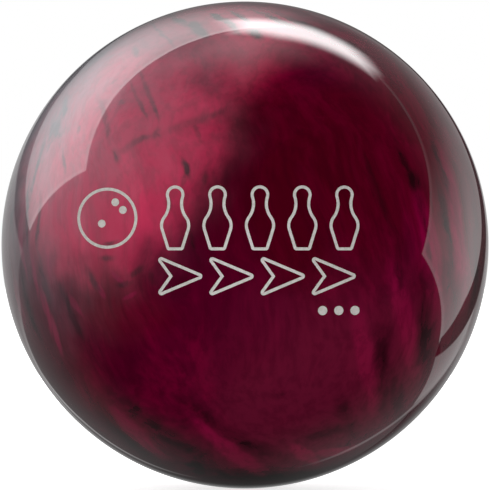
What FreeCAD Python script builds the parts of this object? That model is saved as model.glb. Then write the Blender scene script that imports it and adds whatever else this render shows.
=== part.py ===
"""Bowling ball: a cast resin cover round a light filler core, with a dense light-bulb weight block,
the locator pin that marks the block's crown, and an engraved, paint-filled emblem on the front.

Millimetres. The origin is the ball's centre, +Z runs up the pin axis, and the emblem faces -Y.
The cover and the filler are concentric with the ball. The weight block and its pin are cast a
little behind the centre, so that the ball's heavy side points at the balance mark.
"""

import FreeCAD, Part

import math
import os

import Sketcher

Vector = FreeCAD.Vector

# The driving dimensions: alias, value in millimetres (angles in degrees, counts plain), meaning.
SIZES = [
    ("ball_diameter", 218.0, "outside diameter of the finished ball"),
    ("cover_wall", 19.0, "thickness of the cover"),
    ("bulb_radius", 54.0, "weight block, radius of the bulb"),
    ("neck_radius", 36.0, "weight block, radius of the neck under the bulb"),
    ("neck_length", 9.0, "weight block, from the bulb down to the disc"),
    ("disc_radius", 49.0, "weight block, radius of the heavy disc at its foot"),
    ("disc_height", 30.0, "weight block, height of that disc"),
    ("disc_rounding", 5.0, "weight block, rounding of the disc's two rims"),
    ("neck_rounding", 7.0, "weight block, rounding where neck meets disc"),
    ("block_lift", 19.0, "weight block, bulb's centre above the ball's centre"),
    ("block_set_back", 2.0, "weight block, bulb's centre behind the ball's centre"),
    ("pin_radius", 6.35, "locator pin"),
    ("pin_socket_depth", 14.0, "depth of the pin's socket, measured from the bulb's top"),
    ("engraving_depth", 0.8, "depth of the emblem's grooves"),
    ("paint_recess", 0.15, "how far the paint lies below the ball's surface"),
    ("stroke_width", 1.3, "width of an engraved line"),
    ("balance_mark_radius", 1.6, "punched dot over the heavy side"),
    ("balance_mark_angle", 40.0, "from the pin to that dot, towards the back, degrees"),
    ("tenpin_count", 5, "ten-pin figures in the emblem's top row"),
    ("tenpin_pitch", 18.2, "between two ten-pin figures"),
    ("tenpin_first", -30.0, "first ten-pin figure's middle, to the right of the ball's"),
    ("tenpin_foot", -1.0, "inside of the ten-pin figures' base line, above the ball's centre"),
    ("tenpin_base", 2.5, "ten-pin figure, half width of the base inside the line"),
    ("tenpin_belly", 5.2, "ten-pin figure, radius of the belly inside the line"),
    ("tenpin_belly_height", 9.4, "ten-pin figure, belly's centre above the base"),
    ("tenpin_neck", 10.4, "ten-pin figure, radius of the hollow neck curve"),
    ("tenpin_head", 2.7, "ten-pin figure, radius of the head inside the line"),
    ("tenpin_head_height", 22.6, "ten-pin figure, head's centre above the base"),
    ("dart_count", 4, "arrow figures in the middle row"),
    ("dart_pitch", 22.0, "between two arrow figures"),
    ("dart_first", -36.0, "first arrow's tail, to the right of the ball's centre"),
    ("dart_level", -13.4, "arrows' middle line, above the ball's centre"),
    ("dart_length", 16.4, "arrow, tail to tip inside the line"),
    ("dart_half_height", 6.9, "arrow, half its height inside the line"),
    ("dart_notch", 5.0, "arrow, depth of the notch in its tail"),
    ("dot_count", 3, "round dots in the bottom row"),
    ("dot_pitch", 7.0, "between two dots"),
    ("dot_first", 33.4, "first dot, to the right of the ball's centre"),
    ("dot_level", -28.2, "dots, above the ball's centre"),
    ("dot_radius", 2.0, "dot"),
    ("roller_x", -59.5, "round ball figure, to the right of the ball's centre"),
    ("roller_z", 11.6, "round ball figure, above the ball's centre"),
    ("roller_radius", 13.2, "round ball figure, outside of its ring"),
    ("grip_radius", 1.7, "finger holes drawn in the ball figure"),
    ("grip_spread", 5.6, "those holes from their common middle"),
    ("grip_offset", 1.6, "that middle, above and to the right of the ball figure's"),
]
OVERRUN = 4.0  # how far cutting bodies run past what they cut
GRIP_TURNS = (20, 70, 225)  # where the drawn finger holes lie round their middle, degrees
EPSILON = 1e-6

doc = FreeCAD.newDocument("BowlingBall")


def make_sheet():
    """The driving dimensions, one row each: meaning, value, and an alias on the value."""
    made = doc.addObject("Spreadsheet::Sheet", "Sizes")
    for row, (alias, value, meaning) in enumerate(SIZES, start=1):
        made.set(f"A{row}", meaning)
        made.set(f"B{row}", str(value))
        made.setAlias(f"B{row}", alias)
    doc.recompute()
    return made


sheet = make_sheet()


def size(alias):
    """A driving dimension's value."""
    return float(sheet.get(alias))


def bind(thing, **expressions):
    """Ties properties of an object to the sheet."""
    for name, expression in expressions.items():
        thing.setExpression(name.replace("__", "."), expression)
    return thing


# ---- plain solids -----------------------------------------------------------------------------


def sphere(name, radius):
    return bind(doc.addObject("Part::Sphere", name), Radius=radius)


def cylinder(name, radius, height):
    return bind(doc.addObject("Part::Cylinder", name), Radius=radius, Height=height)


def cut(name, base, tool):
    made = doc.addObject("Part::Cut", name)
    made.Base = base
    made.Tool = tool
    return made


def common(name, base, tool):
    made = doc.addObject("Part::Common", name)
    made.Base = base
    made.Tool = tool
    return made


def group(name, members):
    """Separate solids that belong together, as one object."""
    made = doc.addObject("Part::Compound", name)
    made.Links = members
    return made


# ---- weight block -----------------------------------------------------------------------------


def plane_of(body, role):
    return next(f for f in body.Origin.OriginFeatures if f.Role == role)


def block_outline(body):
    """Half of the block's section, round the bulb's centre, from the foot up to the crown's socket."""
    sketch = body.newObject("Sketcher::SketchObject", "block_section")
    sketch.AttachmentSupport = (plane_of(body, "XZ_Plane"), [""])
    sketch.MapMode = "FlatFace"
    bulb, neck, disc, pin = (size(f"{name}_radius") for name in ("bulb", "neck", "disc", "pin"))
    neck_turn = math.acos(neck / bulb)
    pin_turn = math.acos(pin / bulb)
    under_bulb = -bulb * math.sin(neck_turn)
    shelf = under_bulb - size("neck_length")
    foot = shelf - size("disc_height")
    floor = bulb - size("pin_socket_depth")
    lower = [
        Vector(0, foot, 0),
        Vector(disc, foot, 0),
        Vector(disc, shelf, 0),
        Vector(neck, shelf, 0),
        Vector(neck, under_bulb, 0),
    ]
    upper = [
        Vector(pin, bulb * math.sin(pin_turn), 0),
        Vector(pin, floor, 0),
        Vector(0, floor, 0),
        lower[0],
    ]
    circle = Part.Circle(Vector(), Vector(0, 0, 1), bulb)
    curves = [Part.LineSegment(a, b) for a, b in zip(lower, lower[1:])]
    curves.append(Part.ArcOfCircle(circle, -neck_turn, pin_turn))
    curves += [Part.LineSegment(a, b) for a, b in zip(upper, upper[1:])]
    chain = list(sketch.addGeometry(curves, False))
    foot_line, rim_line, shelf_line, neck_line, bulb_arc, socket_wall, socket_floor, _ = chain
    for one, other in zip(chain, chain[1:] + chain[:1]):
        sketch.addConstraint(Sketcher.Constraint("Coincident", one, 2, other, 1))
    for line in (foot_line, shelf_line, socket_floor):
        sketch.addConstraint(Sketcher.Constraint("Horizontal", line))
    for line in (rim_line, neck_line, socket_wall):
        sketch.addConstraint(Sketcher.Constraint("Vertical", line))
    sketch.addConstraint(Sketcher.Constraint("Coincident", bulb_arc, 3, -1, 1))
    for point in ((foot_line, 1), (socket_floor, 2)):
        sketch.addConstraint(Sketcher.Constraint("PointOnObject", *point, -2))
    dimension(sketch, "Sizes.bulb_radius", "Radius", bulb_arc)
    dimension(sketch, "Sizes.neck_radius", "DistanceX", -1, 1, neck_line, 1)
    dimension(sketch, "Sizes.disc_radius", "DistanceX", -1, 1, foot_line, 2)
    dimension(sketch, "Sizes.pin_radius", "DistanceX", -1, 1, socket_wall, 1)
    dimension(sketch, "Sizes.neck_length", "DistanceY", neck_line, 1, neck_line, 2)
    dimension(sketch, "Sizes.disc_height", "DistanceY", foot_line, 2, rim_line, 2)
    depth = "Sizes.bulb_radius - Sizes.pin_socket_depth"
    dimension(sketch, depth, "DistanceY", -1, 1, socket_wall, 2)
    return sketch


def rims(shape, radius):
    """Names of the whole round edges of that radius, the lowest first."""
    found = []
    for number, edge in enumerate(shape.Edges, start=1):
        if isinstance(edge.Curve, Part.Circle) and abs(edge.Curve.Radius - radius) < EPSILON:
            found.append((edge.Curve.Center.z, f"Edge{number}"))
    return [name for _, name in sorted(found)]


def make_weight_block():
    """A turned light-bulb shape: a heavy disc at the foot, a neck, and a bulb with the pin's socket.

    The two roundings share the shelf between neck and rim, so neither grows past its part of it.
    """
    shelf = "(Sizes.disc_radius - Sizes.neck_radius)"
    body = doc.addObject("PartDesign::Body", "WeightBlock")
    sketch = block_outline(body)
    turned = body.newObject("PartDesign::Revolution", "block_turned")
    turned.Profile = sketch
    turned.ReferenceAxis = (sketch, ["V_Axis"])
    turned.Angle = 360.0
    doc.recompute()
    disc = body.newObject("PartDesign::Fillet", "disc_rounding")
    disc.Base = (turned, rims(turned.Shape, size("disc_radius")))
    bind(disc, Radius=f"min(Sizes.disc_rounding; 0.4 * {shelf}; 0.4 * Sizes.disc_height)")
    doc.recompute()
    neck = body.newObject("PartDesign::Fillet", "neck_rounding")
    neck.Base = (disc, rims(disc.Shape, size("neck_radius"))[:1])
    bind(neck, Radius=f"min(Sizes.neck_rounding; 0.55 * {shelf}; 0.9 * Sizes.neck_length)")
    body.Tip = neck
    return bind(body, Placement__Base__y="Sizes.block_set_back", Placement__Base__z="Sizes.block_lift")


# ---- emblem -----------------------------------------------------------------------------------


def front_sketch(name):
    """A sketch in front of the ball, seen from -Y: its x is the ball's X and its y is the ball's Z."""
    sketch = doc.addObject("Sketcher::SketchObject", name)
    sketch.Placement = FreeCAD.Placement(Vector(), FreeCAD.Rotation(Vector(1, 0, 0), 90))
    return bind(sketch, Placement__Base__y=f"-Sizes.ball_diameter / 2 - {OVERRUN}")


def across(centre, point):
    """Direction of a point from a centre, in radians."""
    return math.atan2(point.y - centre.y, point.x - centre.x)


def mirrored(point):
    return Vector(-point.x, point.y, point.z)


def tenpin_curves(at):
    """Outline of a ten-pin figure whose base is centred on a point, anticlockwise from the base line.

    Base line, right flank, belly, hollow neck, head, hollow neck, belly and left flank: the flanks
    and all the arcs run into each other without a corner.
    """
    belly, head, neck = size("tenpin_belly"), size("tenpin_head"), size("tenpin_neck")
    belly_centre = Vector(0, size("tenpin_belly_height"), 0)
    head_centre = Vector(0, size("tenpin_head_height"), 0)
    apart = (head_centre - belly_centre).Length
    up = ((belly + neck) ** 2 - (head + neck) ** 2 + apart**2) / (2 * apart)
    neck_centre = belly_centre + Vector(math.sqrt((belly + neck) ** 2 - up**2), up, 0)
    corner = Vector(size("tenpin_base"), 0, 0)
    flank_turn = math.acos(belly / (corner - belly_centre).Length)
    flank_at = across(belly_centre, corner) + flank_turn
    flank = belly_centre + Vector(math.cos(flank_at), math.sin(flank_at), 0) * belly
    to_neck = across(belly_centre, neck_centre)
    neck_to_head = across(neck_centre, head_centre)
    head_to_neck = across(head_centre, neck_centre)

    def line(a, b):
        return Part.LineSegment(at + a, at + b)

    def arc(centre, radius, start, end):
        circle = Part.Circle(at + centre, Vector(0, 0, 1), radius)
        return Part.ArcOfCircle(circle, start, end)

    return [
        line(mirrored(corner), corner),
        line(corner, flank),
        arc(belly_centre, belly, flank_at, to_neck),
        arc(neck_centre, neck, neck_to_head, to_neck + math.pi),
        arc(head_centre, head, head_to_neck, math.pi - head_to_neck),
        arc(mirrored(neck_centre), neck, -to_neck, math.pi - neck_to_head),
        arc(belly_centre, belly, math.pi - to_neck, math.pi - flank_at),
        line(mirrored(flank), mirrored(corner)),
    ]


def add_tenpin(sketch, index):
    """Draws one ten-pin figure and ties it to the sheet."""
    at = Vector(size("tenpin_first") + index * size("tenpin_pitch"), size("tenpin_foot"), 0)
    numbers = sketch.addGeometry(tenpin_curves(at), False)
    base, right, belly, neck, top, left_neck, left_belly, left = numbers
    joints = [
        ("Coincident", left, 2, base, 1),
        ("Coincident", base, 2, right, 1),
        ("Tangent", right, 2, belly, 1),
        ("Tangent", belly, 2, neck, 2),
        ("Tangent", neck, 1, top, 1),
        ("Tangent", top, 2, left_neck, 2),
        ("Tangent", left_neck, 1, left_belly, 1),
        ("Tangent", left_belly, 2, left, 1),
        ("Coincident", left_belly, 3, belly, 3),
        ("Vertical", belly, 3, top, 3),
        ("Equal", left_neck, neck),
        ("Horizontal", base),
    ]
    for joint in joints:
        sketch.addConstraint(Sketcher.Constraint(*joint))
    middle = f"Sizes.tenpin_first + {index} * Sizes.tenpin_pitch"
    dimension(sketch, middle, "DistanceX", -1, 1, belly, 3)
    dimension(sketch, "Sizes.tenpin_foot", "DistanceY", -1, 1, base, 1)
    dimension(sketch, "Sizes.tenpin_base", "DistanceX", base, 1, belly, 3)
    dimension(sketch, "Sizes.tenpin_base", "DistanceX", belly, 3, base, 2)
    dimension(sketch, "Sizes.tenpin_belly_height", "DistanceY", base, 1, belly, 3)
    dimension(sketch, "Sizes.tenpin_head_height", "DistanceY", base, 1, top, 3)
    dimension(sketch, "Sizes.tenpin_belly", "Radius", belly)
    dimension(sketch, "Sizes.tenpin_neck", "Radius", neck)
    dimension(sketch, "Sizes.tenpin_head", "Radius", top)


def add_dart(sketch, index):
    """Draws one lane arrow, a dart that points to the right, and ties it to the sheet."""
    tail = size("dart_first") + index * size("dart_pitch")
    level = size("dart_level")
    notch = Vector(tail + size("dart_notch"), level, 0)
    low = Vector(tail, level - size("dart_half_height"), 0)
    tip = Vector(tail + size("dart_length"), level, 0)
    high = Vector(tail, level + size("dart_half_height"), 0)
    corners = [notch, low, tip, high]
    sides = [Part.LineSegment(a, b) for a, b in zip(corners, corners[1:] + corners[:1])]
    first, second, third, fourth = sketch.addGeometry(sides, False)
    for one, other in ((first, second), (second, third), (third, fourth), (fourth, first)):
        sketch.addConstraint(Sketcher.Constraint("Coincident", one, 2, other, 1))
    place = f"Sizes.dart_first + {index} * Sizes.dart_pitch"
    dimension(sketch, f"{place} + Sizes.dart_notch", "DistanceX", -1, 1, first, 1)
    dimension(sketch, "Sizes.dart_level", "DistanceY", -1, 1, first, 1)
    dimension(sketch, place, "DistanceX", -1, 1, second, 1)
    dimension(sketch, "Sizes.dart_half_height", "DistanceY", second, 1, first, 1)
    dimension(sketch, f"{place} + Sizes.dart_length", "DistanceX", -1, 1, third, 1)
    dimension(sketch, "Sizes.dart_level", "DistanceY", -1, 1, third, 1)
    dimension(sketch, place, "DistanceX", -1, 1, fourth, 1)
    dimension(sketch, "Sizes.dart_half_height", "DistanceY", first, 1, fourth, 1)


def dimension(sketch, expression, kind, *where):
    """Adds a dimension at the figure's own size, then ties it to the sheet."""
    value = measured(sketch, kind, *where)
    number = sketch.addConstraint(Sketcher.Constraint(kind, *where, value))
    sketch.setExpression(f"Constraints[{number}]", expression)


def measured(sketch, kind, *where):
    """What a dimension measures on the sketch as drawn. Curve -1 with point 1 is the origin."""
    if kind == "Radius":
        return sketch.Geometry[where[0]].Radius
    curve, point, other, other_point = where
    start = Vector() if curve < 0 else sketch.getPoint(curve, point)
    end = sketch.getPoint(other, other_point)
    return end.x - start.x if kind == "DistanceX" else end.y - start.y


def outlined(name, sketch):
    """The engraved line that runs round the outside of every figure in a sketch, as tall bars."""
    band = doc.addObject("Part::Offset2D", f"{name}_line")
    band.Source = sketch
    band.Fill = True
    band.Join = "Arc"
    bind(band, Value="Sizes.stroke_width")
    bars = doc.addObject("Part::Extrusion", f"{name}_bars")
    bars.Base = band
    bars.DirMode = "Custom"
    bars.Dir = Vector(0, 1, 0)
    bars.Solid = True
    return bind(bars, LengthFwd="Sizes.ball_diameter / 2")


def rod(name, radius, right, up):
    """A round bar that runs into the ball's front, at that place seen from -Y."""
    bar = cylinder(name, radius, "Sizes.ball_diameter / 2")
    bar.Placement = FreeCAD.Placement(Vector(), FreeCAD.Rotation(Vector(1, 0, 0), -90))
    front = f"-Sizes.ball_diameter / 2 - {OVERRUN}"
    return bind(bar, Placement__Base__x=right, Placement__Base__y=front, Placement__Base__z=up)


def tenpin_bars():
    """The top row: ten-pin figures side by side."""
    sketch = front_sketch("tenpin_outlines")
    for index in range(int(size("tenpin_count"))):
        add_tenpin(sketch, index)
    return outlined("tenpin", sketch)


def dart_bars():
    """The middle row: lane arrows."""
    sketch = front_sketch("dart_outlines")
    for index in range(int(size("dart_count"))):
        add_dart(sketch, index)
    return outlined("dart", sketch)


def dot_bars():
    """The bottom row: round dots."""
    bars = []
    for index in range(int(size("dot_count"))):
        place = f"Sizes.dot_first + {index} * Sizes.dot_pitch"
        bars.append(rod(f"dot_bar_{index + 1}", "Sizes.dot_radius", place, "Sizes.dot_level"))
    return group("dot_bars", bars)


def roller_bars():
    """The ball figure: a ring with three finger holes in it."""
    place = ("Sizes.roller_x", "Sizes.roller_z")
    outer = rod("roller_outer", "Sizes.roller_radius", *place)
    inner = rod("roller_inner", "Sizes.roller_radius - Sizes.stroke_width", *place)
    bars = [cut("roller_ring", outer, inner)]
    for index, turn in enumerate(GRIP_TURNS, start=1):
        right = f"Sizes.roller_x + Sizes.grip_offset + Sizes.grip_spread * cos({turn} deg)"
        up = f"Sizes.roller_z + Sizes.grip_offset + Sizes.grip_spread * sin({turn} deg)"
        bars.append(rod(f"grip_bar_{index}", "Sizes.grip_radius", right, up))
    return group("roller_bars", bars)


def balance_bar():
    """A short round bar through the ball's skin, over the heavy side, behind the pin."""
    bar = cylinder("balance_bar", "Sizes.balance_mark_radius", "Sizes.ball_diameter / 4")
    bar.Placement = FreeCAD.Placement(Vector(), FreeCAD.Rotation(Vector(-1, 0, 0), 1))
    reach = "Sizes.ball_diameter * 0.4"
    return bind(
        bar,
        Placement__Rotation__Angle="Sizes.balance_mark_angle",
        Placement__Base__y=f"{reach} * sin(Sizes.balance_mark_angle * 1 deg)",
        Placement__Base__z=f"{reach} * cos(Sizes.balance_mark_angle * 1 deg)",
    )


# ---- assembly ---------------------------------------------------------------------------------


def labelled(thing, label):
    thing.Label = label
    return thing


def main():
    ball = sphere("ball_solid", "Sizes.ball_diameter / 2")
    inner = sphere("inner_ball_solid", "Sizes.ball_diameter / 2 - Sizes.cover_wall")
    groove_floor = sphere("groove_floor_solid", "Sizes.ball_diameter / 2 - Sizes.engraving_depth")
    paint_top = sphere("paint_top_solid", "Sizes.ball_diameter / 2 - Sizes.paint_recess")
    paint_layer = cut("paint_layer", paint_top, groove_floor)

    block = make_weight_block()
    socket_floor = "Sizes.block_lift + Sizes.bulb_radius - Sizes.pin_socket_depth"
    pin_rod = cylinder("pin_rod", "Sizes.pin_radius", "Sizes.ball_diameter")
    bind(pin_rod, Placement__Base__z=socket_floor, Placement__Base__y="Sizes.block_set_back")
    pin = common("pin_in_ball", pin_rod, ball)
    filler = cut("filler_round_pin", cut("filler_round_block", inner, block), pin_rod)

    bars = {
        "emblem_tenpins": tenpin_bars(),
        "emblem_arrows": dart_bars(),
        "emblem_dots": dot_bars(),
        "emblem_ball": roller_bars(),
        "balance_mark": balance_bar(),
    }
    cover = cut("cover_round_block", cut("cover_shell", ball, inner), block)
    cover = cut("cover_round_pin", cover, pin_rod)
    pieces = {"weight_block": block, "locator_pin": pin, "outer_core": filler}
    for label, bar in bars.items():
        pieces[label] = common(f"{label}_paint", bar, paint_layer)
        groove = cut(f"{label}_groove", bar, groove_floor)
        cover = cut(f"cover_less_{label}", cover, groove)
    pieces["coverstock"] = cover
    doc.recompute()
    for label, piece in pieces.items():
        labelled(piece, label)
    return pieces


def check(pieces):
    """Stops if anything in the document failed, or a piece isn't sound."""
    for thing in doc.Objects:
        if "Invalid" in thing.State or "Error" in thing.State:
            raise RuntimeError(f"{thing.Name} is {thing.State}")
    for label, piece in pieces.items():
        shape = piece.Shape
        if shape.isNull() or not shape.isValid() or not shape.Solids:
            raise RuntimeError(f"{label} has no sound shape")
        print(f"{label}: {len(shape.Solids)} solids, {shape.Volume / 1000:.3f} cm3")


def export(pieces):
    os.makedirs("parts", exist_ok=True)
    for label, piece in pieces.items():
        piece.Shape.exportStep(f"parts/{label}.step")


PIECES = main()
check(PIECES)
export(PIECES)
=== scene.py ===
"""Bowling ball, the looks: a pearl resin cover under a clear polish, with an engraved emblem filled with
paint, its locator pin and, inside, the filler and the weight block. Metres; +Z is up the pin axis and
the emblem faces -Y, where the camera stands.
"""

import math
from collections import namedtuple

import bmesh
import bpy
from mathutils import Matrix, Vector


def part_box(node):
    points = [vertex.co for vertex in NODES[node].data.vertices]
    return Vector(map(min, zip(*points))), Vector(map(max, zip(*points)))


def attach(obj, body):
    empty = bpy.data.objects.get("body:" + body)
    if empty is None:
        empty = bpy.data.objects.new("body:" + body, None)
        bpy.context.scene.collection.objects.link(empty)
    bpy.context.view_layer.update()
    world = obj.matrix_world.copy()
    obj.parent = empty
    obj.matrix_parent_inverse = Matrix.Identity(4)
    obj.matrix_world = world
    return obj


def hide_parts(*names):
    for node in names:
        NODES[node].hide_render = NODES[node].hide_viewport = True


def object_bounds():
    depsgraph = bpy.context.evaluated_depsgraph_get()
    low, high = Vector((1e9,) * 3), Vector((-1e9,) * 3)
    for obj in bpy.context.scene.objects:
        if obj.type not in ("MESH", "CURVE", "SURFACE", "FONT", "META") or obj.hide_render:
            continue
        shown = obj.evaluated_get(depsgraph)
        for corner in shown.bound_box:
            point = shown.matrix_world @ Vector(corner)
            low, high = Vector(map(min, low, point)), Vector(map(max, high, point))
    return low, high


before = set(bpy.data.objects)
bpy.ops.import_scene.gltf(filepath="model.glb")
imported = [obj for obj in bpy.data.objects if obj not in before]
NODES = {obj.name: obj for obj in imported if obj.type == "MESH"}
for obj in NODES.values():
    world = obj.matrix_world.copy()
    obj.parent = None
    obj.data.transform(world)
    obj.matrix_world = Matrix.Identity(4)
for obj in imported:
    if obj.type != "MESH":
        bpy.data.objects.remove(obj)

CAD_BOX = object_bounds()

MM = 0.001
BALL_RADIUS = CAD_BOX[1].z
FILLER_RADIUS = -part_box("outer_core")[0].z
PIN_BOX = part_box("locator_pin")
INLAYS = ("emblem_ball", "emblem_tenpins", "emblem_arrows", "emblem_dots", "balance_mark")

MERGE = 0.002 * MM  # vertices nearer than this are one
SURFACE = 0.01 * MM  # how near to the ball's radius counts as its surface
PAINT_TOP = 0.4 * MM  # inlay vertices less deep than this belong to the paint's top
LIP = 0.09 * MM  # depth and width of the small flare at a groove's mouth
PROUD = 0.5 * MM  # how far the cutters stand out of the ball
OUTER_STEPS = 7  # icosphere steps of the cover's outside, facets under 2 mm
INNER_STEPS = 5
ROD_SIDES = 128


# ---- meshes -----------------------------------------------------------------------------------


def as_object(bm, name):
    """Turns a bmesh into an object of the scene."""
    mesh = bpy.data.meshes.new(name)
    bm.to_mesh(mesh)
    bm.free()
    made = bpy.data.objects.new(name, mesh)
    bpy.context.scene.collection.objects.link(made)
    return made


def trimmed(piece, operation, other):
    """Cuts a piece with another object, or keeps what they share, and drops the other."""
    modifier = piece.modifiers.new("trim", "BOOLEAN")
    modifier.operation = operation
    modifier.solver = "EXACT"
    modifier.object = other
    bpy.context.view_layer.update()
    evaluated = piece.evaluated_get(bpy.context.evaluated_depsgraph_get())
    rough = piece.data
    piece.data = bpy.data.meshes.new_from_object(evaluated)
    piece.data.name = piece.name
    piece.modifiers.clear()
    bpy.data.meshes.remove(rough)
    bpy.data.objects.remove(other)
    return piece


def ball_surface(bm, radius, steps):
    """Adds a finely divided sphere round the origin."""
    return bmesh.ops.create_icosphere(bm, subdivisions=steps, radius=radius)["verts"]


def add_groove_cutter(bm, node):
    """Adds the solid that engraves one inlay's groove: the inlay's own sides, flared at the mouth."""
    part = bmesh.new()
    part.from_mesh(NODES[node].data)
    bmesh.ops.remove_doubles(part, verts=part.verts, dist=MERGE)
    outward = part.verts.layers.float_vector.new("outward")
    floor_of_top = BALL_RADIUS - PAINT_TOP
    top = [f for f in part.faces if all(v.co.length > floor_of_top for v in f.verts)]
    for vert in {v for f in top for v in f.verts}:
        walls = [f for f in vert.link_faces if f not in set(top)]
        lean = sum((f.normal * f.calc_area() for f in walls), Vector())
        lean -= vert.co * lean.dot(vert.co) / vert.co.length_squared
        vert[outward] = lean.normalized()
    for radius, spread in ((BALL_RADIUS - LIP, 0.0), (BALL_RADIUS + PROUD, LIP + PROUD)):
        raised = bmesh.ops.extrude_face_region(part, geom=top)["geom"]
        bmesh.ops.delete(part, geom=top, context="FACES")
        top = [g for g in raised if isinstance(g, bmesh.types.BMFace)]
        for vert in (g for g in raised if isinstance(g, bmesh.types.BMVert)):
            vert.co = vert.co.normalized() * radius + vert[outward] * spread
    mesh = bpy.data.meshes.new("groove")
    part.to_mesh(mesh)
    part.free()
    bm.from_mesh(mesh)
    bpy.data.meshes.remove(mesh)


def pin_rod(bm, low, high):
    """Adds a rod of the locator pin's radius and place between two heights."""
    width = PIN_BOX[1].x - PIN_BOX[0].x
    middle = (PIN_BOX[0] + PIN_BOX[1]) / 2
    rod = bmesh.ops.create_cone(
        bm, cap_ends=True, segments=ROD_SIDES, radius1=width / 2, radius2=width / 2, depth=high - low
    )
    bmesh.ops.translate(bm, verts=rod["verts"], vec=(middle.x, middle.y, (low + high) / 2))


def true_to_ball(piece):
    """Gives what lies on the ball's surface the ball's own normals, so that its gloss has no facets."""
    mesh = piece.data
    on_ball = [abs(v.co.length - BALL_RADIUS) < SURFACE for v in mesh.vertices]
    normals = [Vector()] * len(mesh.loops)
    for polygon in mesh.polygons:
        polygon.use_smooth = True
        skin = all(on_ball[v] for v in polygon.vertices)
        for corner in polygon.loop_indices:
            place = mesh.vertices[mesh.loops[corner].vertex_index].co
            normals[corner] = place.normalized() if skin else polygon.normal
    mesh.normals_split_custom_set(normals)
    return piece


def make_cover():
    """The cover: a closed shell with the engraved grooves and the pin's bore cut out of it."""
    bm = bmesh.new()
    ball_surface(bm, BALL_RADIUS, OUTER_STEPS)
    inside = ball_surface(bm, FILLER_RADIUS, INNER_STEPS)
    bmesh.ops.reverse_faces(bm, faces=list({f for v in inside for f in v.link_faces}))
    cover = as_object(bm, "cover")
    cutters = bmesh.new()
    for node in INLAYS:
        add_groove_cutter(cutters, node)
    pin_rod(cutters, PIN_BOX[0].z, BALL_RADIUS + PROUD)
    return true_to_ball(trimmed(cover, "DIFFERENCE", as_object(cutters, "cutters")))


def make_pin():
    """The locator pin: a rod up from the block's crown, ground off flush with the ball."""
    bm = bmesh.new()
    pin_rod(bm, PIN_BOX[0].z, BALL_RADIUS + PROUD)
    pin = as_object(bm, "pin")
    ball = bmesh.new()
    ball_surface(ball, BALL_RADIUS, OUTER_STEPS)
    return true_to_ball(trimmed(pin, "INTERSECT", as_object(ball, "ball")))


# ---- shader nodes -----------------------------------------------------------------------------


def put(tree, kind, inputs=(), **settings):
    """Adds a node. Inputs go by name or number, and each is a value or another node's socket."""
    made = tree.nodes.new("ShaderNode" + kind)
    for name, value in settings.items():
        setattr(made, name, value)
    for key, value in dict(inputs).items():
        if isinstance(value, bpy.types.NodeSocket):
            tree.links.new(value, made.inputs[key])
        else:
            made.inputs[key].default_value = value
    return made


def calc(tree, operation, *values, clamp=False):
    """A Math node's result."""
    made = put(tree, "Math", enumerate(values), operation=operation, use_clamp=clamp)
    return made.outputs[0]


def vector(tree, operation, *values):
    """A Vector Math node's result, a vector, or a number for a dot product or length."""
    made = put(tree, "VectorMath", enumerate(values), operation=operation)
    return made.outputs["Value" if operation in ("DOT_PRODUCT", "LENGTH") else "Vector"]


def scaled(tree, value, factor):
    """A vector made longer or shorter."""
    return put(tree, "VectorMath", {0: value, "Scale": factor}, operation="SCALE").outputs[0]


def noise(tree, place, scale, detail=2.0, roughness=0.5, output="Fac"):
    """Soft random clouds; the scale is how many go to a ball radius."""
    inputs = {"Vector": place, "Scale": scale, "Detail": detail, "Roughness": roughness}
    return put(tree, "TexNoise", inputs, noise_dimensions="3D").outputs[output]


def noise_push(tree, place, scale, detail):
    """A random vector round zero, which shifts a pattern about."""
    return vector(tree, "SUBTRACT", noise(tree, place, scale, detail, output="Color"), (0.5, 0.5, 0.5))


def pushed(tree, place, *pushes):
    """Coordinates shifted by some shares of random vectors."""
    for push, amount in pushes:
        place = vector(tree, "ADD", place, scaled(tree, push, amount))
    return place


def fade(tree, value, low, high, to_low=0.0, to_high=1.0):
    """Smoothly from one value to another while the input goes from low to high."""
    inputs = {"Value": value, "From Min": low, "From Max": high, "To Min": to_low, "To Max": to_high}
    return put(tree, "MapRange", inputs, interpolation_type="SMOOTHSTEP").outputs["Result"]


def blend(tree, share, first, second, how="MIX"):
    """Colours mixed by a share."""
    made = put(tree, "Mix", {0: share, 6: first, 7: second}, data_type="RGBA", blend_type=how)
    return made.outputs[2]


def stretched(tree, place, size, tilt=0.0, centre=(0.0, 0.0, 0.0)):
    """Coordinates of a patch: its centre is the origin, and it is one long along each of its sizes."""
    inputs = {
        "Vector": place,
        "Location": centre,
        "Rotation": (0.0, math.radians(tilt), 0.0),
        "Scale": size,
    }
    return put(tree, "Mapping", inputs, vector_type="TEXTURE").outputs[0]


def new_material(name):
    """An empty material with its Principled shader, and where its pattern starts: ball radii."""
    made = bpy.data.materials.new(name)
    made.use_nodes = True
    tree = made.node_tree
    tree.nodes.clear()
    shader = put(tree, "BsdfPrincipled")
    put(tree, "OutputMaterial", {"Surface": shader.outputs[0]})
    spot = put(tree, "TexCoord").outputs["Object"]
    return made, tree, shader, scaled(tree, spot, 1.0 / BALL_RADIUS)


def colour(red, green, blue):
    """A colour as a node takes it."""
    return (red, green, blue, 1.0)


# ---- pearl cover ------------------------------------------------------------------------------

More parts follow.
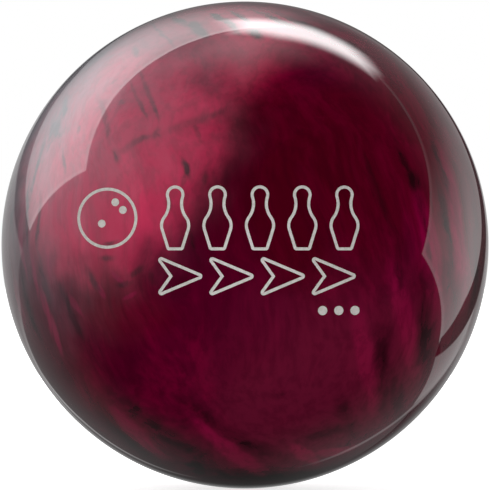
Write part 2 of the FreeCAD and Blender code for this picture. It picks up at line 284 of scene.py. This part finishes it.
# Wisps of dark smoke and folds of brighter crimson in the front of the cover, in ball radii: across,
# up, tilt in degrees from upright (clockwise), half length, half width, how far its ends sweep to the
# right, and how strong.
SMOKE_WISPS = (
    # over the top
    (-0.19, 0.865, -50, 0.075, 0.036, 0.0, 1.0),
    (-0.26, 0.91, -52, 0.12, 0.020, 0.0, 0.6),
    (-0.34, 0.86, -42, 0.12, 0.014, 0.0, 0.5),
    (-0.11, 0.92, -60, 0.05, 0.022, 0.0, 1.0),
    (-0.06, 0.885, -48, 0.10, 0.020, 0.0, 0.8),
    (0.035, 0.855, -48, 0.07, 0.030, 0.0, 1.0),
    (0.00, 0.91, -55, 0.12, 0.018, 0.0, 0.7),
    (0.12, 0.91, -62, 0.15, 0.020, 0.0, 0.8),
    (0.26, 0.88, -66, 0.18, 0.022, 0.0, 0.9),
    (0.40, 0.82, -60, 0.14, 0.020, 0.0, 0.7),
    # up on the left
    (-0.435, 0.78, -10, 0.035, 0.022, 0.0, 1.0),
    (-0.38, 0.59, -22, 0.15, 0.017, 0.0, 0.65),
    (-0.425, 0.575, -24, 0.12, 0.014, 0.0, 0.55),
    (-0.56, 0.50, -14, 0.16, 0.020, 0.0, 0.40),
    (-0.44, 0.40, 62, 0.13, 0.022, 0.0, 0.50),
    (-0.35, 0.445, 40, 0.05, 0.025, 0.0, 0.45),
    (-0.20, 0.49, 70, 0.20, 0.026, 0.0, 0.45),
    (-0.51, 0.36, -20, 0.05, 0.025, 0.0, 0.6),
    (-0.235, 0.30, -25, 0.07, 0.022, 0.0, 0.7),
    (-0.19, 0.46, -12, 0.07, 0.016, 0.0, 0.5),
    (-0.245, 0.26, 15, 0.04, 0.016, 0.0, 0.5),
    (-0.16, 0.26, 5, 0.06, 0.020, 0.0, 0.45),
    (-0.30, 0.17, -10, 0.05, 0.018, 0.0, 0.4),
    (-0.53, 0.01, 70, 0.05, 0.016, 0.0, 0.5),
    (-0.54, -0.05, 75, 0.05, 0.020, 0.0, 0.5),
    (-0.43, -0.10, 60, 0.06, 0.022, 0.0, 0.5),
    (-0.48, -0.15, 70, 0.05, 0.022, 0.0, 0.5),
    (-0.36, -0.13, -30, 0.05, 0.022, 0.0, 0.4),
    (-0.73, 0.56, 8, 0.07, 0.016, 0.0, 1.0),
    (-0.665, 0.455, 15, 0.025, 0.012, 0.0, 0.8),
    (-0.725, 0.34, -8, 0.07, 0.012, 0.0, 0.5),
    # down the left edge
    (-0.84, 0.30, 14, 0.24, 0.014, 0.0, 0.7),
    (-0.945, 0.10, 2, 0.26, 0.012, 0.06, 0.5),
    (-0.88, 0.10, 0, 0.30, 0.014, 0.05, 0.7),
    (-0.83, 0.02, -4, 0.26, 0.014, 0.04, 0.6),
    (-0.80, -0.16, -16, 0.18, 0.020, 0.0, 0.7),
    (-0.88, -0.22, -14, 0.24, 0.022, 0.04, 0.7),
    (-0.71, -0.22, -24, 0.14, 0.022, 0.0, 0.5),
    (-0.60, -0.14, -30, 0.09, 0.022, 0.0, 0.5),
    (-0.66, -0.34, -30, 0.16, 0.024, 0.0, 0.4),
    # swept along the bottom
    (-0.06, -0.75, -58, 0.34, 0.048, 0.05, 0.55),
    (-0.28, -0.785, -55, 0.38, 0.045, 0.04, 0.55),
    (-0.47, -0.80, -50, 0.26, 0.026, 0.03, 0.5),
    (0.10, -0.945, -88, 0.45, 0.065, 0.06, 0.7),
    (0.33, -0.75, 72, 0.15, 0.040, 0.0, 0.4),
    # down the right side
    (0.40, -0.68, -22, 0.16, 0.055, 0.0, 0.4),
    (0.550, -0.46, -2, 0.36, 0.052, 0.0, 0.5),
    (0.605, -0.60, -12, 0.18, 0.050, 0.0, 0.4),
    (0.730, -0.33, 2, 0.34, 0.060, -0.03, 0.6),
    (0.815, 0.02, -8, 0.36, 0.020, -0.02, 0.6),
    (0.935, -0.02, 0, 0.36, 0.020, -0.03, 0.6),
    (0.52, 0.22, -20, 0.27, 0.024, 0.0, 0.5),
    (0.61, -0.10, -8, 0.17, 0.022, 0.0, 0.4),
    (0.63, 0.34, -24, 0.20, 0.020, 0.0, 0.5),
    (0.675, 0.255, -34, 0.07, 0.042, 0.0, 0.65),
    (0.71, 0.12, -8, 0.15, 0.022, 0.0, 0.5),
    (0.725, -0.02, -16, 0.06, 0.020, 0.0, 0.6),
    (0.79, 0.30, -16, 0.22, 0.018, 0.0, 0.5),
)
BRIGHT_FOLDS = (
    (0.740, -0.05, -9, 0.38, 0.055, -0.02, 1.0),
    (0.855, 0.07, -8, 0.40, 0.042, -0.02, 0.95),
    (0.640, -0.31, -14, 0.33, 0.058, 0.0, 0.85),
    (0.48, -0.46, -12, 0.34, 0.055, 0.0, 0.7),
    (0.66, 0.02, -12, 0.16, 0.040, 0.0, 0.35),
    (-0.05, -0.83, -52, 0.31, 0.046, 0.03, 0.9),
    (-0.44, -0.76, -46, 0.21, 0.040, 0.03, 0.6),
    (0.24, -0.845, -60, 0.10, 0.034, 0.0, 1.0),
    (0.37, -0.83, 82, 0.11, 0.026, 0.0, 1.0),
    (-0.905, 0.03, -3, 0.20, 0.013, 0.03, 0.8),
    (-0.855, -0.08, -12, 0.18, 0.014, 0.0, 0.8),
    (-0.79, -0.04, -12, 0.12, 0.014, 0.0, 0.7),
    (-0.80, -0.26, -12, 0.14, 0.016, 0.0, 0.7),
    (-0.76, -0.36, -16, 0.11, 0.016, 0.0, 0.7),
    (-0.91, -0.24, -12, 0.16, 0.014, 0.0, 0.5),
    (-0.67, -0.24, -35, 0.06, 0.014, 0.0, 0.6),
    (-0.57, -0.18, -30, 0.05, 0.016, 0.0, 0.7),
    (-0.50, -0.13, -40, 0.05, 0.014, 0.0, 0.8),
    (-0.46, -0.20, 60, 0.04, 0.014, 0.0, 0.6),
)
STREAK_DEPTH = 0.8  # how far into the ball a streak reaches


def streak_group():
    """One drawn streak: a long soft-edged spindle, bent like a bow."""
    tree = bpy.data.node_groups.new("drawn_streak", "ShaderNodeTree")
    for name, kind in (
        ("Place", "Vector"), ("Centre", "Vector"), ("Turn", "Vector"), ("Size", "Vector"),
        ("Bend", "Float"), ("Softness", "Float"), ("Strength", "Float"),
    ):
        tree.interface.new_socket(name, in_out="INPUT", socket_type="NodeSocket" + kind)
    tree.interface.new_socket("Mask", in_out="OUTPUT", socket_type="NodeSocketFloat")
    given = tree.nodes.new("NodeGroupInput").outputs
    inputs = {0: given["Place"], 1: given["Centre"], 2: given["Turn"], 3: given["Size"]}
    patch = put(tree, "Mapping", inputs, vector_type="TEXTURE").outputs[0]
    along = vector(tree, "DOT_PRODUCT", patch, (0.0, 0.0, 1.0))
    swept = calc(tree, "MULTIPLY", calc(tree, "MULTIPLY", along, along), given["Bend"])
    patch = vector(tree, "SUBTRACT", patch, put(tree, "CombineXYZ", {0: swept}).outputs[0])
    heart = put(tree, "TexGradient", {0: patch}, gradient_type="SPHERICAL").outputs["Fac"]
    mask = calc(tree, "MULTIPLY", fade(tree, heart, 0.0, given["Softness"]), given["Strength"])
    tree.links.new(mask, tree.nodes.new("NodeGroupOutput").inputs["Mask"])
    return tree


def drawn_streaks(tree, place, streak, softness, streaks):
    """Where a list of drawn streaks lies, as a mask."""
    mask = 0.0
    for across, up, tilt, length, width, sweep, strength in streaks:
        made = tree.nodes.new("ShaderNodeGroup")
        made.node_tree = streak
        tree.links.new(place, made.inputs["Place"])
        made.inputs["Centre"].default_value = (across, -math.sqrt(1.0 - across**2 - up**2), up)
        made.inputs["Turn"].default_value = (0.0, math.radians(tilt), 0.0)
        made.inputs["Size"].default_value = (width, STREAK_DEPTH, length)
        made.inputs["Bend"].default_value = sweep / width
        made.inputs["Softness"].default_value = softness
        made.inputs["Strength"].default_value = strength
        mask = calc(tree, "MAXIMUM", mask, made.outputs["Mask"])
    return mask


def cloud_mask(tree, place, centre, size, low, high):
    """A soft round cloud: one at its heart, nothing outside its size."""
    inside = stretched(tree, place, (size, size, size), 0.0, centre)
    inside = put(tree, "TexGradient", {0: inside}, gradient_type="SPHERICAL").outputs["Fac"]
    return fade(tree, inside, low, high)


# The cover's resins, and the colours of the painted shade, highlight and sheen laid over them.
MAROON = colour(0.076, 0.0, 0.014)
WARM_MAROON = colour(0.092, 0.0, 0.010)
CRIMSON = colour(0.26, 0.0, 0.036)
BRIGHT_CRIMSON = colour(0.26, 0.0, 0.046)
# painted shade: the dark red laid over the middle of the front
PAINTED_SHADE_MAROON = colour(0.045, 0.0, 0.003)
ROSE = colour(0.165, 0.010, 0.034)
# painted highlight: the bright red laid over the lit upper left
PAINTED_HIGHLIGHT_RED = colour(0.62, 0.0, 0.070)
DUSKY_RED = colour(0.075, 0.0, 0.010)
BRUSHED_DARK = colour(0.02, 0.0, 0.004)
SMOKE = colour(0.012, 0.002, 0.004)
# painted sheen: the milky white laid over the lit upper left
PAINTED_SHEEN_WHITE = colour(0.36, 0.375, 0.41)

# Its soft clouds: the centre and size in ball radii, and where, from its edge at 0 to its heart at 1, a
# cloud starts and is full.
# painted shade over the middle of the front, where the light on the pearl falls off
PAINTED_SHADE_CLOUD = ((0.14, -0.95, 0.25), 0.60, 0.0, 0.6)
ROSE_CLOUD = ((0.40, -0.62, -0.66), 0.80, 0.0, 0.6)
# painted highlight over the upper left, where the light falls; with the next line
PAINTED_HIGHLIGHT_CLOUD = ((-0.60, -0.68, 0.42), 0.82, 0.22, 0.55)
PAINTED_HIGHLIGHT_ABOVE = ((-0.25, -0.55, 0.80), 0.9, 0.38, 0.66)
DUSKY_CLOUD = ((-0.86, -0.42, -0.28), 0.5, 0.0, 0.6)
# painted sheen over the upper left, the softbox's glow in the pearl; with the next line
PAINTED_SHEEN_CLOUD = ((-0.79, -0.33, 0.52), 1.1, 0.0, 0.92)
THICK_PAINTED_SHEEN = ((-0.72, 0.0, 0.69), 0.75, 0.0, 0.7)

Flow = namedtuple("Flow", "gentle ragged swirled edge drawn combed wide fine")


def pearl_flow(tree, spot):
    """How the resins ran together: shifted coordinates, and the drawn-out noise they share."""
    slow = noise_push(tree, spot, 1.5, 2.0)
    quick = noise_push(tree, spot, 6.0, 4.0)
    hasty = noise_push(tree, spot, 22.0, 4.0)
    gentle = pushed(tree, spot, (quick, 0.045))
    ragged = pushed(tree, gentle, (hasty, 0.014))
    swirled = pushed(tree, ragged, (slow, 0.45))
    edge = pushed(tree, spot, (slow, 0.18), (quick, 0.22))
    drawn = stretched(tree, swirled, (1.0, 1.0, 4.5), -12.0)
    combed = stretched(tree, pushed(tree, spot, (slow, 0.3), (quick, 0.02)), (1.0, 1.0, 9.0), -10.0)
    wide = fade(tree, noise(tree, drawn, 3.0, 5.0, 0.6), 0.36, 0.64)
    fine = fade(tree, noise(tree, drawn, 11.0, 5.0, 0.65), 0.36, 0.64)
    return Flow(gentle, ragged, swirled, edge, drawn, combed, wide, fine)


def tinted(tree, resin, mask, share, tint):
    """The resin with another one laid into it where the mask says."""
    return blend(tree, calc(tree, "MULTIPLY", mask, share), resin, tint)


def folded_resins(tree, flow):
    """Maroon and crimson folded together, clouds of dusky and rose resin, painted shade over the front's
    middle and a painted highlight in pearly red over the upper left.
    """
    warm = fade(tree, noise(tree, flow.swirled, 1.1, 2.0), 0.42, 0.58)
    resin = blend(tree, warm, MAROON, WARM_MAROON)
    folds = calc(tree, "MULTIPLY", flow.wide, fade(tree, flow.fine, 0.0, 1.0, 0.10, 0.45))
    resin = tinted(tree, resin, folds, 0.8, CRIMSON)
    # Painted shade: the middle of the front darkened.
    resin = tinted(tree, resin, cloud_mask(tree, flow.edge, *PAINTED_SHADE_CLOUD), 0.55, PAINTED_SHADE_MAROON)
    resin = tinted(tree, resin, cloud_mask(tree, flow.edge, *ROSE_CLOUD), 0.6, ROSE)
    # Painted highlight: the upper left lit in pearly red, a little broken up by the folds.
    above = calc(tree, "MULTIPLY", cloud_mask(tree, flow.edge, *PAINTED_HIGHLIGHT_ABOVE), 0.4)
    pearl = calc(tree, "MAXIMUM", cloud_mask(tree, flow.edge, *PAINTED_HIGHLIGHT_CLOUD), above)
    resin = tinted(tree, resin, pearl, fade(tree, flow.wide, 0.0, 1.0, 0.70, 1.0), PAINTED_HIGHLIGHT_RED)
    return tinted(tree, resin, cloud_mask(tree, flow.edge, *DUSKY_CLOUD), 0.45, DUSKY_RED)


def streaked_resins(tree, flow, resin, streak):
    """Bright folds drawn through the resin, and brush-fine dark lines."""
    folds = drawn_streaks(tree, flow.gentle, streak, 0.6, BRIGHT_FOLDS)
    folds = calc(tree, "MULTIPLY", folds, fade(tree, flow.fine, 0.0, 1.0, 0.65, 0.8))
    resin = blend(tree, folds, resin, BRIGHT_CRIMSON, "LIGHTEN")
    brushed = fade(tree, noise(tree, flow.combed, 30.0, 4.0, 0.65), 0.35, 0.60, 0.25, 0.0)
    return blend(tree, brushed, resin, BRUSHED_DARK)


def smoked_resins(tree, flow, resin, streak):
    """Dark smoke through the resin: loose everywhere, and in drawn wisps."""
    loose = fade(tree, noise(tree, flow.drawn, 4.2, 6.0, 0.62), 0.40, 0.28)
    wisps = drawn_streaks(tree, flow.ragged, streak, 0.85, SMOKE_WISPS)
    wisps = calc(tree, "MULTIPLY", wisps, fade(tree, flow.fine, 1.0, 0.0, 0.75, 1.6), clamp=True)
    return tinted(tree, resin, calc(tree, "MAXIMUM", loose, wisps), 0.88, SMOKE)


def painted_sheen_over_resins(tree, flow, resin):
    """A painted sheen over the upper left: a milky veil where the softbox's light lies on the pearl."""
    # Painted sheen: a milky veil for the softbox's glow on the pearl, broken up by the fine folds.
    thin = cloud_mask(tree, flow.edge, *PAINTED_SHEEN_CLOUD)
    thin = calc(tree, "MULTIPLY", thin, fade(tree, flow.fine, 0.0, 1.0, 0.85, 1.0))
    thick = cloud_mask(tree, flow.edge, *THICK_PAINTED_SHEEN)
    milk = calc(tree, "ADD", calc(tree, "MULTIPLY", thin, 0.50), calc(tree, "MULTIPLY", thick, 0.30))
    return blend(tree, milk, resin, PAINTED_SHEEN_WHITE)


def pearl_resin():
    """The cover: pearly resins folded together and dark smoke under a clear polish, with painted shade
    over the front's middle and a painted highlight and painted milky sheen over the upper left.
    """
    made, tree, shader, spot = new_material("pearl_resin")
    flow = pearl_flow(tree, spot)
    streak = streak_group()
    resin = folded_resins(tree, flow)
    resin = streaked_resins(tree, flow, resin, streak)
    resin = smoked_resins(tree, flow, resin, streak)
    resin = painted_sheen_over_resins(tree, flow, resin)
    tree.links.new(resin, shader.inputs["Base Color"])
    shader.inputs["Metallic"].default_value = 0.15
    shader.inputs["Roughness"].default_value = 0.32
    shader.inputs["Specular IOR Level"].default_value = 0.0
    shader.inputs["Coat Weight"].default_value = 1.0
    shader.inputs["Coat Roughness"].default_value = 0.012
    shader.inputs["Coat IOR"].default_value = 1.5
    return made


# ---- the other materials ----------------------------------------------------------------------


def emblem_paint():
    """Pale grey filling paint, a little uneven where it was wiped level."""
    made, tree, shader, spot = new_material("emblem_paint")
    wiped = noise(tree, spot, 90.0, 3.0)
    dull = colour(0.42, 0.40, 0.375)
    pale = colour(0.50, 0.48, 0.455)
    tone = blend(tree, fade(tree, wiped, 0.35, 0.65), dull, pale)
    tree.links.new(tone, shader.inputs["Base Color"])
    rough = fade(tree, wiped, 0.3, 0.7, 0.35, 0.5)
    tree.links.new(rough, shader.inputs["Roughness"])
    return made


SPECK_HEIGHT = 0.2 * MM


def cast_resin_group():
    """Cast resin inside the ball: a cloudy tone, specks of its filling, and the bumps they make."""
    tree = bpy.data.node_groups.new("cast_resin", "ShaderNodeTree")
    for name, kind in (
        ("Place", "Vector"), ("Cloud Scale", "Float"), ("Speck Scale", "Float"), ("Dark Tone", "Color"),
        ("Light Tone", "Color"), ("Speck Tone", "Color"), ("Specks", "Float"),
    ):
        tree.interface.new_socket(name, in_out="INPUT", socket_type="NodeSocket" + kind)
    for name, kind in (("Tone", "Color"), ("Height", "Float")):
        tree.interface.new_socket(name, in_out="OUTPUT", socket_type="NodeSocket" + kind)
    given = tree.nodes.new("NodeGroupInput").outputs
    cloud = noise(tree, given["Place"], given["Cloud Scale"], 4.0)
    speck = noise(tree, given["Place"], given["Speck Scale"], 2.0)
    tone = blend(tree, fade(tree, cloud, 0.3, 0.7), given["Dark Tone"], given["Light Tone"])
    tone = blend(tree, fade(tree, speck, 0.58, 0.74, 0.0, given["Specks"]), tone, given["Speck Tone"])
    made = tree.nodes.new("NodeGroupOutput").inputs
    tree.links.new(tone, made["Tone"])
    tree.links.new(speck, made["Height"])
    return tree


def cast_resin(name, group, roughness, values):
    """A cast resin material from the group's tones and bumps."""
    made, tree, shader, spot = new_material(name)
    cast = tree.nodes.new("ShaderNodeGroup")
    cast.node_tree = group
    tree.links.new(spot, cast.inputs["Place"])
    for key, value in values.items():
        cast.inputs[key].default_value = value
    tree.links.new(cast.outputs["Tone"], shader.inputs["Base Color"])
    inputs = {"Strength": 0.3, "Distance": SPECK_HEIGHT, "Height": cast.outputs["Height"]}
    bump = put(tree, "Bump", inputs)
    tree.links.new(bump.outputs[0], shader.inputs["Normal"])
    shader.inputs["Roughness"].default_value = roughness
    return made


def filler_resin(group):
    """Tan filler resin, full of glass bubbles too small to see apart."""
    return cast_resin("filler_resin", group, 0.75, {
        "Cloud Scale": 4.0,
        "Speck Scale": 220.0,
        "Dark Tone": colour(0.50, 0.45, 0.36),
        "Light Tone": colour(0.60, 0.56, 0.47),
        "Speck Tone": colour(0.36, 0.32, 0.25),
        "Specks": 0.35,
    })


def block_resin(group):
    """Dense mineral-filled resin, dark and faintly speckled."""
    return cast_resin("block_resin", group, 0.6, {
        "Cloud Scale": 6.0,
        "Speck Scale": 160.0,
        "Dark Tone": colour(0.045, 0.05, 0.065),
        "Light Tone": colour(0.075, 0.08, 0.10),
        "Speck Tone": colour(0.30, 0.31, 0.33),
        "Specks": 0.6,
    })


def pin_resin():
    """Ivory pin resin under the same polish as the cover."""
    made, tree, shader, spot = new_material("pin_resin")
    cloud = noise(tree, spot, 14.0, 4.0)
    dull = colour(0.62, 0.58, 0.50)
    pale = colour(0.72, 0.69, 0.62)
    tone = blend(tree, fade(tree, cloud, 0.3, 0.7), dull, pale)
    tree.links.new(tone, shader.inputs["Base Color"])
    rough = fade(tree, cloud, 0.3, 0.7, 0.25, 0.35)
    tree.links.new(rough, shader.inputs["Roughness"])
    shader.inputs["Coat Weight"].default_value = 1.0
    shader.inputs["Coat Roughness"].default_value = 0.02
    return made


# ---- studio -----------------------------------------------------------------------------------


def towards(azimuth, elevation):
    """Unit vector. Azimuth 0 is towards the camera and 90 to its right; elevation is above level."""
    turn = math.radians(azimuth)
    lift = math.radians(elevation)
    return Vector((math.sin(turn) * math.cos(lift), -math.cos(turn) * math.cos(lift), math.sin(lift)))


BACK = (0.0, 1.0, 0.0)
RIGHT = (1.0, 0.0, 0.0)
UP = (0.0, 0.0, 1.0)
BACK_LOW = (0.25, 0.75, -0.61)
CRISP = 0.012  # softness of a sharp edge, as the sine of the angle over which it fades
RIM = (0.02, 0.05)  # where the bright rim of a softbox fades out, inwards from its edge
RIM_BACK = (0.5, 0.65)  # and where it fades out towards the back
ROOM = 0.22  # brightness of the room behind the ball
FLAG_LEAK = 0.1  # share of the light that a dark flag lets past
WALL_SOFTNESS = 0.03
WALL_LIGHT = (0.04, 0.5)  # the pale wall: low down, and level with the ball
LEDGE_LIGHT = 0.6  # its lit edge

# What the polish mirrors. A board is one or more convex outlines, whose corners are azimuths and
# elevations in degrees; how soft its edge is; the direction along which its light changes, where that
# starts and ends and how bright it is there; how much its rim adds; and a second direction along which
# it dims, with where that starts and ends and the share that is left.
Board = namedtuple("Board", "outlines softness along ends brightness rim dimming", defaults=(0.0, ()))
UPPER_LEFT_BOX = Board(
    outlines=(
        ((-90, 25), (-113, 46), (-150, 50), (-140, 0), (-122, 3)),
        ((-113, 46), (-136, 57), (-157, 60), (-178, 58), (158, 46), (155, 8), (-178, 0), (-122, 3)),
    ),
    softness=CRISP, along=BACK_LOW, ends=(-0.35, 0.55), brightness=(2.6, 0.15), rim=0.5,
    dimming=(RIGHT, 0.0, 0.26, 0.0),
)
STRIP = Board(
    outlines=(((-168, 63), (160, 65), (127, 44), (138, 38), (150, 36), (165, 38), (-170, 44)),),
    softness=0.17, along=BACK, ends=(0.5, 0.85), brightness=(8.0, 3.6),
)
CEILING = Board(
    outlines=(((-115, 58), (-160, 44), (154, 43), (118, 61), (0, 73)),),
    softness=0.45, along=BACK, ends=(0.0, 0.7), brightness=(1.6, 0.9),
)
RIGHT_BOX = Board(
    outlines=(
        ((132, 42), (122, 36), (112, 27), (101, 14), (91, -3), (126, -22), (155, -20), (175, 20),
         (158, 42)),
    ),
    softness=CRISP, along=UP, ends=(-0.05, 0.5), brightness=(1.08, 0.0), rim=0.25,
    dimming=(BACK, 0.65, 0.95, 0.3),
)
LOW_WEDGE = Board(
    outlines=(((131, -24), (139, -18), (149, -10), (154, -6), (154, -16), (151, -25.5), (141, -25)),),
    softness=CRISP, along=UP, ends=(-0.6, -0.3), brightness=(0.85, 0.85),
)
FLAGS = (
    ((-122, 3), (-132, 9), (-145, 14), (-163, 17), (178, 8), (178, -8), (-140, -6)),
    ((126, -21), (135, -10), (145, -2), (154, 4), (161, 8), (167, 10), (178, 10), (178, -20), (131, -24)),
)
WALL = (
    ((-128, -1), (-139, 4), (-150, 8), (-167, 9), (170, 6), (159, 0), (149, -10), (160, -14),
     (-143, -10)),
    ((154, -6), (151, -16), (150, -24), (152, -32), (156, -38), (164, -43), (175, -45), (-176, -30),
     (-175, -5)),
    ((-159, -8), (-162, -23), (-169, -27), (-176, -31), (176, -36), (175, -5)),
)


def depth_inside(tree, sight, corners):
    """How far the sight line passes inside a convex outline, as the sine of the angle; minus outside."""
    directions = [towards(*corner) for corner in corners]
    middle = sum(directions, Vector())
    inside = None
    for start, end in zip(directions, directions[1:] + directions[:1]):
        edge = start.cross(end).normalized()
        edge = edge if edge.dot(middle) > 0 else -edge
        depth = vector(tree, "DOT_PRODUCT", sight, edge)
        inside = depth if inside is None else calc(tree, "MINIMUM", inside, depth)
    return inside


def deepest(tree, sight, outlines):
    """How far the sight line passes inside a board made of several overlapping outlines."""
    inside = depth_inside(tree, sight, outlines[0])
    for corners in outlines[1:]:
        inside = calc(tree, "MAXIMUM", inside, depth_inside(tree, sight, corners))
    return inside


def facing(tree, sight, direction):
    """How much the sight line points in a direction: its cosine."""
    return vector(tree, "DOT_PRODUCT", sight, direction)


def board_light(tree, sight, board):
    """What a board shines along the sight line."""
    inside = deepest(tree, sight, board.outlines)
    glow = fade(tree, facing(tree, sight, board.along), *board.ends, *board.brightness)
    if board.rim:
        rim = fade(tree, inside, *RIM, board.rim, 0.0)
        front = fade(tree, facing(tree, sight, BACK), *RIM_BACK, 1.0, 0.0)
        glow = calc(tree, "ADD", glow, calc(tree, "MULTIPLY", rim, front))
    if board.dimming:
        direction, start, end, left = board.dimming
        share = fade(tree, facing(tree, sight, direction), start, end, 1.0, left)
        glow = calc(tree, "MULTIPLY", glow, share)
    return calc(tree, "MULTIPLY", fade(tree, inside, 0.0, board.softness), glow)


def wall_light(tree, sight, height, aside):
    """The pale wall low behind the ball, with its lit edge away from the middle."""
    inside = deepest(tree, sight, WALL)
    ledge = fade(tree, inside, 0.04, 0.09, LEDGE_LIGHT, 0.0)
    ledge = calc(tree, "MULTIPLY", ledge, fade(tree, height, -0.72, -0.55))
    ledge = calc(tree, "MULTIPLY", ledge, fade(tree, height, -0.1, -0.25))
    ledge = calc(tree, "MULTIPLY", ledge, fade(tree, aside, 0.05, 0.25))
    wall = calc(tree, "ADD", fade(tree, height, -0.45, 0.0, *WALL_LIGHT), ledge)
    return calc(tree, "MULTIPLY", fade(tree, inside, 0.0, WALL_SOFTNESS), wall)


def reflected_light(tree, sight):
    """How bright the studio is where the sight line goes, as the polish mirrors it."""
    height = facing(tree, sight, UP)
    aside = calc(tree, "ABSOLUTE", facing(tree, sight, RIGHT))
    light = fade(tree, facing(tree, sight, BACK), 0.0, 0.8, 0.0, ROOM)
    light = calc(tree, "MULTIPLY", light, fade(tree, aside, 0.0, 0.4, 0.3, 1.0))
    for board in (UPPER_LEFT_BOX, STRIP, CEILING, RIGHT_BOX):
        light = calc(tree, "ADD", light, board_light(tree, sight, board))
    for corners in FLAGS:
        shade = fade(tree, depth_inside(tree, sight, corners), 0.0, CRISP, 1.0, FLAG_LEAK)
        light = calc(tree, "MULTIPLY", light, shade)
    light = calc(tree, "MAXIMUM", light, board_light(tree, sight, LOW_WEDGE))
    return calc(tree, "MAXIMUM", light, wall_light(tree, sight, height, aside))


def plain_glow(tree, strength):
    """White light of some strength."""
    return put(tree, "Background", {"Color": colour(1, 1, 1), "Strength": strength}).outputs[0]


SOFT_LIGHT = 0.6  # what the room sheds on the ball from all round


def make_world():
    """White behind the ball, and the studio as its polish mirrors it."""
    world = bpy.data.worlds.new("studio")
    bpy.context.scene.world = world
    world.use_nodes = True
    tree = world.node_tree
    tree.nodes.clear()
    sight = put(tree, "TexCoord").outputs["Generated"]
    mirrored = plain_glow(tree, reflected_light(tree, sight))
    soft = plain_glow(tree, SOFT_LIGHT)
    white = plain_glow(tree, 1.0)
    path = put(tree, "LightPath").outputs
    seen = put(tree, "MixShader", {0: path["Is Glossy Ray"], 1: soft, 2: mirrored}).outputs[0]
    seen = put(tree, "MixShader", {0: path["Is Camera Ray"], 1: seen, 2: white}).outputs[0]
    put(tree, "OutputWorld", {"Surface": seen})


LIGHTS = (  # azimuth and elevation in degrees, distance and width in metres, power in watts
    ("key", -40, 22, 1.6, 1.0, 4.5),
    ("fill", 3, -10, 2.2, 1.6, 44.0),
    ("back", 180, 0, 2.2, 1.6, 30.0),
)


def add_light(name, azimuth, elevation, distance, width, power):
    """A square soft light that faces the ball and isn't mirrored in its polish."""
    lamp = bpy.data.lights.new(name, "AREA")
    lamp.shape = "SQUARE"
    lamp.size = width
    lamp.energy = power
    made = bpy.data.objects.new(name, lamp)
    way = towards(azimuth, elevation)
    made.location = way * distance
    made.rotation_euler = way.to_track_quat("Z", "Y").to_euler()
    made.visible_glossy = False
    bpy.context.scene.collection.objects.link(made)


FLOOR_RADIUS = 12.0
FLOOR_GLOW = 0.75  # keeps the floor white where only soft light reaches it


def make_floor():
    """The pale floor the ball stands on."""
    bm = bmesh.new()
    bmesh.ops.create_circle(bm, cap_ends=True, segments=96, radius=FLOOR_RADIUS)
    floor = as_object(bm, "floor")
    floor.location.z = CAD_BOX[0].z
    floor.visible_glossy = False
    floor.visible_diffuse = False
    made = bpy.data.materials.new("pale_floor")
    made.use_nodes = True
    shader = made.node_tree.nodes["Principled BSDF"]
    shader.inputs["Base Color"].default_value = colour(0.85, 0.85, 0.85)
    shader.inputs["Roughness"].default_value = 0.9
    shader.inputs["Emission Color"].default_value = colour(1, 1, 1)
    shader.inputs["Emission Strength"].default_value = FLOOR_GLOW
    floor.data.materials.append(made)


CAMERA_DISTANCE = 2.5
FRAME_MARGIN = 1.006  # the frame's half height, in radii of the ball's outline


def make_camera():
    """Level with the ball's centre, square to the emblem, with the ball filling the frame."""
    lens = bpy.data.cameras.new("camera")
    outline = math.tan(math.asin(BALL_RADIUS / CAMERA_DISTANCE))
    lens.lens = lens.sensor_width / 2 / (outline * FRAME_MARGIN)
    made = bpy.data.objects.new("camera", lens)
    made.location = (0.0, -CAMERA_DISTANCE, 0.0)
    made.rotation_euler = (math.radians(90), 0.0, 0.0)
    bpy.context.scene.collection.objects.link(made)
    bpy.context.scene.camera = made


# ---- everything together ----------------------------------------------------------------------


def dress(piece, material):
    """Gives a piece its one material."""
    slots = piece.data.materials
    slots.clear()
    slots.append(material)


def main():
    """The studio, then the pieces from the outside in."""
    bpy.context.scene.view_settings.view_transform = "Standard"
    make_camera()
    make_world()
    for values in LIGHTS:
        add_light(*values)
    make_floor()

    cover = make_cover()
    dress(cover, pearl_resin())
    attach(cover, "root")
    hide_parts("coverstock")

    pin = make_pin()
    dress(pin, pin_resin())
    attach(pin, "root")
    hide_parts("locator_pin")

    paint = emblem_paint()
    for node in INLAYS:
        dress(NODES[node], paint)
    cast = cast_resin_group()
    dress(NODES["outer_core"], filler_resin(cast))
    dress(NODES["weight_block"], block_resin(cast))


main()
